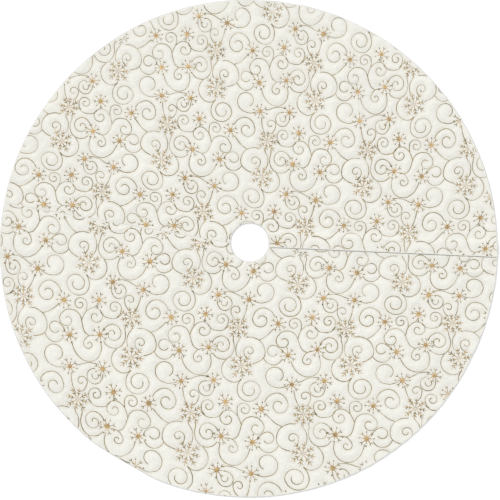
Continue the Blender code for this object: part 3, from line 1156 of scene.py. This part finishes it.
class SkirtPrint(bpy.types.PropertyGroup):
    """The gold print."""

    line_width: bpy.props.FloatProperty(
        name="Line width", description="Width of a full gold line",
        default=0.0023, unit="LENGTH", precision=4,
    )
    line_rise: bpy.props.FloatProperty(
        name="Line rise", description="How far the foil stands proud of the pressed pile",
        default=0.00045, unit="LENGTH", precision=5,
    )
    flake_weight: bpy.props.FloatProperty(
        name="Flake weight", description="Thickness of the snowflakes' arms",
        default=1.55, min=0.2,
    )
    dark_gold: bpy.props.FloatVectorProperty(
        name="Dark gold", description="The duller tone of the foil",
        default=OLIVE_GOLD, subtype="COLOR", size=3, min=0.0, max=1.0,
    )
    light_gold: bpy.props.FloatVectorProperty(
        name="Light gold", description="The brighter tone of the foil",
        default=LIGHT_GOLD, subtype="COLOR", size=3, min=0.0, max=1.0,
    )
    flake_gold: bpy.props.FloatVectorProperty(
        name="Flake gold", description="The warm gold of the snowflakes",
        default=FLAKE_GOLD, subtype="COLOR", size=3, min=0.0, max=1.0,
    )


class SkirtCloth(bpy.types.PropertyGroup):
    """Colours of the cloth and its trimmings."""

    plush: bpy.props.FloatVectorProperty(
        name="Plush", description="Colour of the pile",
        default=CREAM, subtype="COLOR", size=3, min=0.0, max=1.0,
    )
    lining: bpy.props.FloatVectorProperty(
        name="Lining", description="Colour of the woven lining",
        default=IVORY, subtype="COLOR", size=3, min=0.0, max=1.0,
    )
    thread: bpy.props.FloatVectorProperty(
        name="Thread", description="Colour of the sewing thread",
        default=THREAD_WHITE, subtype="COLOR", size=3, min=0.0, max=1.0,
    )
    tape: bpy.props.FloatVectorProperty(
        name="Tape", description="Colour of the hook-and-loop tape",
        default=TAPE_WHITE, subtype="COLOR", size=3, min=0.0, max=1.0,
    )


class SkirtStage(bpy.types.PropertyGroup):
    """Floor, light and camera."""

    camera_height: bpy.props.FloatProperty(
        name="Camera height", description="Height of the camera over the floor",
        default=3.40, unit="LENGTH",
    )
    camera_roll: bpy.props.FloatProperty(
        name="Camera roll", description="Turn of the camera about its line of sight",
        default=math.radians(2.5), subtype="ANGLE", unit="ROTATION",
    )
    key_power: bpy.props.FloatProperty(
        name="Key power", description="Strength of the soft side light", default=1.65,
    )
    sky_strength: bpy.props.FloatProperty(
        name="Sky strength", description="Strength of the even light all round", default=0.87,
    )


PRINT = {}


def design_of(scene):
    """The print of this skirt and the tree of its lines, worked out once."""
    if "found" not in PRINT:
        PRINT["found"] = print_layout(scene.skirt_sizes, scene.skirt_print)
        PRINT["tree"] = pressed_places(PRINT["found"])
    return PRINT["found"], PRINT["tree"]


# ---------------------------------------------------------------- operators


class SKIRT_OT_plush_panels(bpy.types.Operator):
    """Add the plush panels: the lower half, and the upper half in two pieces"""

    bl_idname = "skirt.plush_panels"
    bl_label = "Plush panels"

    def execute(self, context):
        sizes = context.scene.skirt_sizes
        _, tree = design_of(context.scene)
        material = plush_material(tuple(context.scene.skirt_cloth.plush))
        replaced = {"lower": "lower_face", "upper": "upper_face", "flap": "flap_face"}
        for name, upper, first, last, bodies in REGIONS:
            piece, area = plush_panel(sizes, tree, name, upper, first, last, material)
            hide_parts(replaced[name])
            follow(piece, bodies)
        return {"FINISHED"}


# Loops round a panel's edge: inset from a free edge and from the seam, and there the share of
# the height from the hem's middle to the top, or the height over the underside.
EDGE_TOP = ((1.5, 0.8, 0.90, 0.97), (0.6, 0.4, 0.68, 0.90), (0.1, 0.15, 0.36, 0.74))
EDGE_UNDER = ((0.2, 0.12, 1.0, 1.3), (0.8, 0.12, 0.25, 1.0), (2.0, 0.12, 0.02, 0.9))
HEM_MIDDLE = 1.3
TOP_INSET = 2.8
TOP_SEAM_INSET = 1.4
# The turned hem under the lining: its inset at the seam, the height of its outer loop, and how
# much higher than the pocket's top that loop is on the seam and the cut.
HEM_SEAM_INSET = 0.12
HEM_LOW = 0.02
HEM_LIFT = 0.05
# Painted shade on the rounded edge of the plush: how dark it is on the loops from the top's edge
# down, and what share of that it gets on the seam and along the slit.
EDGE_SHADE_LOOPS = (0.55, 1.0, 1.0, 1.0, 1.0)
EDGE_SHADE_AT_SEAM = 0.05
EDGE_SHADE_AT_SLIT = 0.12
# Reach of the pressed pile's tone and of the painted shade in the grooves beside the print.
PRESSED_SHADE_REACH = 5.0 * MM


def plush_panel(sizes, tree, name, upper, first, last, material):
    """One plush piece with its rounded hem, and its area."""
    t = half_columns(upper)[first : last + 1]
    s = np.linspace(0.0, 1.0, ROWS + 1)
    at_seam = last == COLUMNS

    def plan(inset, seam_inset):
        neck, rim = edge_curves(sizes, upper, t, inset * MM, seam_inset * MM, inset * MM)
        return settle(ruled(neck, rim, s))

    grid = plan(TOP_INSET, TOP_SEAM_INSET)
    rise = pile_rise(grid, tree, upper)
    top = with_height(grid, under_height(grid, upper) + FACE_TOP + rise)
    edge_rise = round_border(rise[..., None])[:, 0]
    count = ROWS + 1
    on_seam = np.zeros(len(edge_rise), bool)
    on_split = np.zeros(len(edge_rise), bool)
    far_side = slice(ROWS + len(t) - 1, 2 * ROWS + len(t))
    if at_seam:
        on_seam[far_side] = True
    else:
        on_split[far_side] = True
    if first:
        on_split[:count] = True
    loops = []
    for inset, seam_inset, share, seam_share in EDGE_TOP:
        points = round_border(plan(inset, seam_inset))
        shares = np.where(on_seam | on_split, seam_share, share)
        height = under_height(points, upper) + HEM_MIDDLE * MM
        height = height + (FACE_TOP + edge_rise - HEM_MIDDLE * MM) * shares
        loops.append(with_height(points, height))
    for inset, seam_inset, height, seam_height in EDGE_UNDER:
        points = round_border(plan(inset, seam_inset))
        above = np.where(on_seam | on_split, seam_height, height) * MM
        loops.append(with_height(points, under_height(points, upper) + above))
    hem = sizes.hem_width / MM
    below = plan(hem, HEM_SEAM_INSET)
    points = round_border(below)
    for height, lift in ((HEM_LOW, HEM_LIFT), (POCKET_TOP / MM, 0.0)):
        above = np.where(on_seam | on_split, POCKET_TOP / MM + lift, height) * MM
        loops.append(with_height(points, under_height(points, upper) + above))
    under = with_height(below, under_height(below, upper) + POCKET_TOP)
    verts, faces = cloth_shell(top, loops, under, UNDER_ROW_STEP, UNDER_COLUMN_STEP, upper)
    piece = new_piece(name + "_plush", verts, faces, material)
    if not (at_seam and first == 0):
        mark_cut(piece, top, first > 0)
    # Where the print presses the pile: its tone, with painted shade in the grooves, fading over a
    # few millimetres from each line.
    pressed = np.zeros(len(verts))
    away = line_distance(top[..., :2], tree)
    pressed[: away.size] = np.exp(-((away.reshape(-1) / PRESSED_SHADE_REACH) ** 2))
    store(piece, "pressed", "FLOAT", "POINT", pressed)
    # Painted shade on the edge roll, on the loops just below the top's edge: faint on the seam and
    # along the slit, none where the upper plush is cut.
    edge_shade = np.zeros(len(verts))
    turned = np.where(on_seam, EDGE_SHADE_AT_SEAM, np.where(on_split, 0.0, 1.0))
    if first == 0:
        turned[:count] = EDGE_SHADE_AT_SLIT
    for number, share in enumerate(EDGE_SHADE_LOOPS):
        begin = away.size + number * len(turned)
        edge_shade[begin : begin + len(turned)] = turned * share
    store(piece, "edge_shade", "FLOAT", "POINT", edge_shade)
    return piece, plan_area(plan(0.0, 0.1))


def mark_cut(piece, top, at_first):
    """Sharp edges where the upper plush is cut into its two pieces."""
    columns = top.shape[1]
    column = 0 if at_first else columns - 1
    wanted = {row * columns + column for row in range(top.shape[0])}
    marks = [e.vertices[0] in wanted and e.vertices[1] in wanted for e in piece.data.edges]
    store(piece, "sharp_edge", "BOOLEAN", "EDGE", marks)


class SKIRT_OT_linings(bpy.types.Operator):
    """Add the woven linings and the underlap strip"""

    bl_idname = "skirt.linings"
    bl_label = "Linings"

    def execute(self, context):
        sizes = context.scene.skirt_sizes
        colour = tuple(context.scene.skirt_cloth.lining)
        material = woven_material("ivory_lining", colour, 0.9 * MM, 0.82, 0.1)
        replaced = {"lower": "lower_lining", "upper": "upper_lining", "flap": "flap_lining"}
        insets = (LINING_INSET, SEAM_LINING_INSET, LINING_INSET)
        for name, upper, first, last, bodies in REGIONS:
            t = half_columns(upper)[first : last + 1 : UNDER_COLUMN_STEP]
            s = np.linspace(0.0, 1.0, ROWS // UNDER_ROW_STEP * 2 + 1)
            grid = settle(ruled(*edge_curves(sizes, upper, t, *insets), s))
            low = under_height(grid, upper)
            top = with_height(grid, low + LINING_THICKNESS - 0.02 * MM)
            under = with_height(grid, low + 0.05 * MM)
            verts, faces = cloth_shell(top, [round_border(under)], under, 1, 1, upper)
            piece = new_piece(name + "_lining_cloth", verts, faces, material)
            bpy.context.view_layer.objects.active = piece
            piece.select_set(True)
            bpy.ops.object.shade_smooth_by_angle(angle=math.radians(50))
            piece.select_set(False)
            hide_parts(replaced[name])
            follow(piece, bodies)
        self.underlap(material)
        return {"FINISHED"}

    def underlap(self, material):
        """The strip that closes the slit from below."""
        deselect()
        low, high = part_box("underlap_strip")
        size = high - low
        bpy.ops.mesh.primitive_grid_add(x_subdivisions=110, y_subdivisions=8, size=1.0)
        piece = bpy.context.active_object
        piece.name = "underlap_cloth"
        piece.data.name = piece.name
        # It is cut square where its upper edge meets the edge of the lining.
        length = math.sqrt((RIM_RADIUS - LINING_INSET) ** 2 - high.y**2) - low.x
        for vert in piece.data.vertices:
            x, y = vert.co.x + 0.5, vert.co.y + 0.5
            vert.co = (low.x + length * x, low.y + size.y * y, 0.05 * MM)
            vert.co.z += 0.04 * MM * math.sin(vert.co.x * 190.0) ** 2
        thick = piece.modifiers.new("cloth", "SOLIDIFY")
        thick.thickness = 0.5 * MM
        thick.offset = 1.0
        bpy.ops.object.modifier_apply(modifier=thick.name)
        bpy.ops.object.shade_smooth_by_angle(angle=math.radians(50))
        piece.data.materials.append(material)
        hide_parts("underlap_strip")
        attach(piece, "lower_half")


STITCH_HEIGHT = 0.36 * MM


class SKIRT_OT_slip_stitches(bpy.types.Operator):
    """Add the slip stitches between hem and lining, and the stitches of the seam"""

    bl_idname = "skirt.slip_stitches"
    bl_label = "Slip stitches"

    def execute(self, context):
        sizes = context.scene.skirt_sizes
        material = thread_material(tuple(context.scene.skirt_cloth.thread))
        stitch = modelled_stitch(4.2 * MM, 0.55 * MM)
        height = STITCH_HEIGHT
        replaced = {
            "lower": ("lower_edge_thread",),
            "upper": ("upper_rim_thread", "upper_neck_thread"),
            "flap": ("flap_edge_thread",),
        }
        for name, upper, first, last, bodies in REGIONS:
            t = half_columns(upper)[first : last + 1]
            insets = (THREAD_INSET, SEAM_LINING_INSET, THREAD_INSET)
            neck, rim = edge_curves(sizes, upper, t, *insets)
            paths = [neck, rim]
            if first == 0:
                paths.append(np.stack((neck[0], rim[0])))
            shapes = []
            for path in paths:
                path = through(path, 4.0 * MM) if len(path) == 2 else path
                points, headings = spaced(settle(path), sizes.stitch_pitch, 2.0 * MM)
                slants = headings + 0.12 * np.where(np.arange(len(points)) % 2, 1, -1)
                spots = with_height(points, under_height(points, upper) + height)
                shapes.append(placed(stitch, spots, slants))
            verts, faces = gather(shapes)
            piece = new_piece(name + "_slip_stitches", verts, faces, material)
            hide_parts(*replaced[name])
            follow(piece, bodies)
        self.seam(sizes, stitch, height, material)
        return {"FINISHED"}

    def seam(self, sizes, stitch, height, material):
        neck = np.array((sizes.neck_x, sizes.neck_y))
        inner = leaving(SEAM_START, SEAM_HEADING, neck, sizes.neck_diameter / 2 + LINING_INSET)
        outer = leaving(SEAM_START, SEAM_HEADING, np.zeros(2), RIM_RADIUS - LINING_INSET)
        path = settle(through(np.stack((inner, outer)), 4.0 * MM))
        points, headings = spaced(path, 4.6 * MM, 1.0 * MM)
        spots = with_height(points, under_height(points, False) + height)
        verts, faces = placed(stitch, spots, headings)
        piece = new_piece("panel_seam_stitches", verts, faces, material)
        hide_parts("panel_seam_thread")
        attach(piece, "lower_half")


TAPE_PILE = 0.6 * MM
TAPE_MARGIN = 2.7 * MM


class SKIRT_OT_closures(bpy.types.Operator):
    """Add the three pairs of hook-and-loop tape and the stitching round them"""

    bl_idname = "skirt.closures"
    bl_label = "Closures"

    def execute(self, context):
        cloth = context.scene.skirt_cloth
        woven = woven_material("tape_web", tuple(cloth.tape), 0.7 * MM, 0.8, 0.05)
        fuzzy = fuzzy_material("tape_loops", tuple(cloth.tape), 900.0, 0.0003)
        stiff = fuzzy_material("tape_hooks", shaded(tuple(cloth.tape), 0.95), 500.0, 0.0001)
        thread = bpy.data.materials["sewing_thread"]
        kinds = (
            ("loop", "lower_half", fuzzy, modelled_loop(), 1),
            ("hook", "opening_flap", stiff, modelled_hook(), -1),
        )
        stitch = modelled_stitch(2.6 * MM, 0.34 * MM)
        for kind, body, material, model, facing in kinds:
            for number in range(1, 4):
                self.tape(kind, number, body, woven, material, model, facing)
                self.stitching(kind, number, body, thread, stitch)
        return {"FINISHED"}

    def tape(self, kind, number, body, woven, pile, model, facing):
        node = f"{kind}_tape_{number}"
        low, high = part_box(node)
        base_low, base_high = low.copy(), high.copy()
        if facing > 0:
            base_high.z -= TAPE_PILE
            root = base_high.z
        else:
            base_low.z += TAPE_PILE
            root = base_low.z
        piece = modelled_tape_base(base_low, base_high, woven, node + "_web")
        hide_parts(node)
        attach(piece, body)
        rng = np.random.default_rng(60 + number)
        pitch = 0.95 * MM if facing > 0 else 1.25 * MM
        x = np.arange(low.x + TAPE_MARGIN, high.x - TAPE_MARGIN, pitch)
        y = np.arange(low.y + TAPE_MARGIN, high.y - TAPE_MARGIN, pitch)
        places = np.stack(np.meshgrid(x, y, indexing="ij"), -1).reshape(-1, 2)
        verts, faces = model
        if facing > 0:
            places = places + rng.uniform(-0.25, 0.25, places.shape) * MM
            headings = rng.uniform(0.0, math.pi, len(places))
            lift = root + 0.03 * MM
        else:
            headings = np.where(np.arange(len(places)) % 2, 0.0, math.pi)
            verts = verts * (1.0, -1.0, -1.0)
            lift = root - 0.18 * MM
        verts, faces = placed((verts, faces), with_height(places, lift), headings)
        field = new_piece(node + "_pile", verts, faces, pile)
        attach(field, body)

    def stitching(self, kind, number, body, thread, stitch):
        node = f"{kind}_tape_stitching_{number}"
        low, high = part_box(node)
        inset = 0.4 * MM
        corners = np.array(
            (
                (low.x + inset, low.y + inset),
                (high.x - inset, low.y + inset),
                (high.x - inset, high.y - inset),
                (low.x + inset, high.y - inset),
                (low.x + inset, low.y + inset),
            )
        )
        shapes = []
        for a, b in zip(corners, corners[1:]):
            points, headings = spaced(np.stack((a, b)), 3.0 * MM, 0.2 * MM)
            middle = (low.z + high.z) / 2
            shapes.append(placed(stitch, with_height(points, middle), headings))
        verts, faces = gather(shapes)
        piece = new_piece(node + "_thread", verts, faces, thread)
        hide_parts(node)
        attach(piece, body)


class SKIRT_OT_gold_print(bpy.types.Operator):
    """Add the gold scrolls and snowflakes on each plush panel"""

    bl_idname = "skirt.gold_print"
    bl_label = "Gold print"

    def execute(self, context):
        found, tree = design_of(context.scene)
        design = context.scene.skirt_print
        scrolls = foil_material(
            "scroll_foil", tuple(design.dark_gold), tuple(design.light_gold), 0.55
        )
        dark_flake = shaded(tuple(design.flake_gold), 0.42)
        flakes = foil_material("snowflake_foil", dark_flake, tuple(design.flake_gold), 0.45)
        for name, upper, _, _, bodies in REGIONS:
            strokes = found[name]
            self.print_piece(
                name + "_gold_scrolls", strokes.lines, (), upper, tree, design, scrolls, bodies
            )
            self.print_piece(
                name + "_gold_snowflakes", strokes.arms, strokes.discs, upper, tree, design,
                flakes, bodies,
            )
        return {"FINISHED"}

    def print_piece(self, name, lines, discs, upper, tree, design, material, bodies):
        shapes = []
        for plan, widths in lines:
            points = settle(plan)
            height = FACE_TOP + under_height(points, upper) + pile_rise(points, tree, upper)
            shapes.append(foil_line(points, widths, height, design.line_rise))
        for middle, radius, turn in discs:
            point = settle(middle[None])[0]
            height = FACE_TOP + under_height(point, upper) + pile_rise(point[None], tree, upper)[0]
            shapes.append(foil_disc(point, radius, turn, float(height), design.line_rise))
        verts, faces = gather(shapes)
        piece = new_piece(name, verts, faces, material)
        follow(piece, bodies)


class SKIRT_OT_stage(bpy.types.Operator):
    """Add the pale floor, the soft light and the camera"""

    bl_idname = "skirt.stage"
    bl_label = "Floor, light and camera"

    def execute(self, context):
        stage = context.scene.skirt_stage
        deselect()
        bpy.ops.mesh.primitive_plane_add(size=60.0, location=(0.0, 0.0, -0.25 * MM))
        floor = bpy.context.active_object
        floor.name = "floor"
        bpy.ops.object.transform_apply(location=True, rotation=True, scale=True)
        nodes = Nodes("floor_paper")
        tint = nodes.ramp(
            nodes.noise(3.0), ((0.3, shaded(FLOOR_WHITE, 0.99)), (0.7, FLOOR_WHITE))
        )
        rough = nodes.greys(nodes.noise(40.0), 0.8, 0.9)
        nodes.finish(tint, rough, nodes.bump(nodes.noise(900.0), 0.0001, 0.3))
        floor.data.materials.append(nodes.material)
        self.soft_light("key", (-1.0, 1.1, 0.92), 45.0, stage.key_power)
        self.soft_light("fill", (1.3, -0.9, 1.6), 60.0, stage.key_power * 0.16)
        world = bpy.data.worlds.new("studio")
        world.use_nodes = True
        background = world.node_tree.nodes["Background"]
        background.inputs["Color"].default_value = (1.0, 1.0, 1.0, 1.0)
        background.inputs["Strength"].default_value = stage.sky_strength
        context.scene.world = world
        context.scene.view_settings.view_transform = "Standard"
        lens = bpy.data.cameras.new("camera")
        lens.lens = 100.0
        lens.sensor_width = 36.0
        camera = bpy.data.objects.new("camera", lens)
        context.scene.collection.objects.link(camera)
        camera.location = (0.0032, -0.0037, stage.camera_height)
        camera.rotation_euler = (0.0, 0.0, stage.camera_roll)
        context.scene.camera = camera
        return {"FINISHED"}

    def soft_light(self, name, towards, spread, power):
        light = bpy.data.lights.new(name, "SUN")
        light.energy = power
        light.angle = math.radians(spread)
        lamp = bpy.data.objects.new(name, light)
        bpy.context.scene.collection.objects.link(lamp)
        lamp.location = towards
        lamp.rotation_euler = Vector(towards).to_track_quat("Z", "Y").to_euler()


class SKIRT_PT_panel(bpy.types.Panel):
    """Lists the skirt's steps and settings"""

    bl_label = "Tree skirt"
    bl_idname = "SKIRT_PT_panel"
    bl_space_type = "VIEW_3D"
    bl_region_type = "UI"
    bl_category = "Tree skirt"

    def draw(self, context):
        for group in SETTINGS:
            settings = getattr(context.scene, group)
            for name in settings.bl_rna.properties.keys():
                if name not in ("rna_type", "name"):
                    self.layout.prop(settings, name)
        for operator in OPERATORS:
            self.layout.operator(operator.bl_idname)


OPERATORS = (
    SKIRT_OT_plush_panels,
    SKIRT_OT_linings,
    SKIRT_OT_slip_stitches,
    SKIRT_OT_closures,
    SKIRT_OT_gold_print,
    SKIRT_OT_stage,
)
SETTINGS = {
    "skirt_sizes": SkirtSizes,
    "skirt_print": SkirtPrint,
    "skirt_cloth": SkirtCloth,
    "skirt_stage": SkirtStage,
}


def register():
    for group in SETTINGS.values():
        bpy.utils.register_class(group)
    for operator in OPERATORS:
        bpy.utils.register_class(operator)
    bpy.utils.register_class(SKIRT_PT_panel)
    for name, group in SETTINGS.items():
        setattr(bpy.types.Scene, name, bpy.props.PointerProperty(type=group))


def unregister():
    for name in SETTINGS:
        delattr(bpy.types.Scene, name)
    bpy.utils.unregister_class(SKIRT_PT_panel)
    for operator in reversed(OPERATORS):
        bpy.utils.unregister_class(operator)
    for group in SETTINGS.values():
        bpy.utils.unregister_class(group)


def main():
    register()
    bpy.ops.skirt.stage()
    bpy.ops.skirt.linings()
    bpy.ops.skirt.plush_panels()
    bpy.ops.skirt.slip_stitches()
    bpy.ops.skirt.closures()
    bpy.ops.skirt.gold_print()


if __name__ == "__main__":
    main()
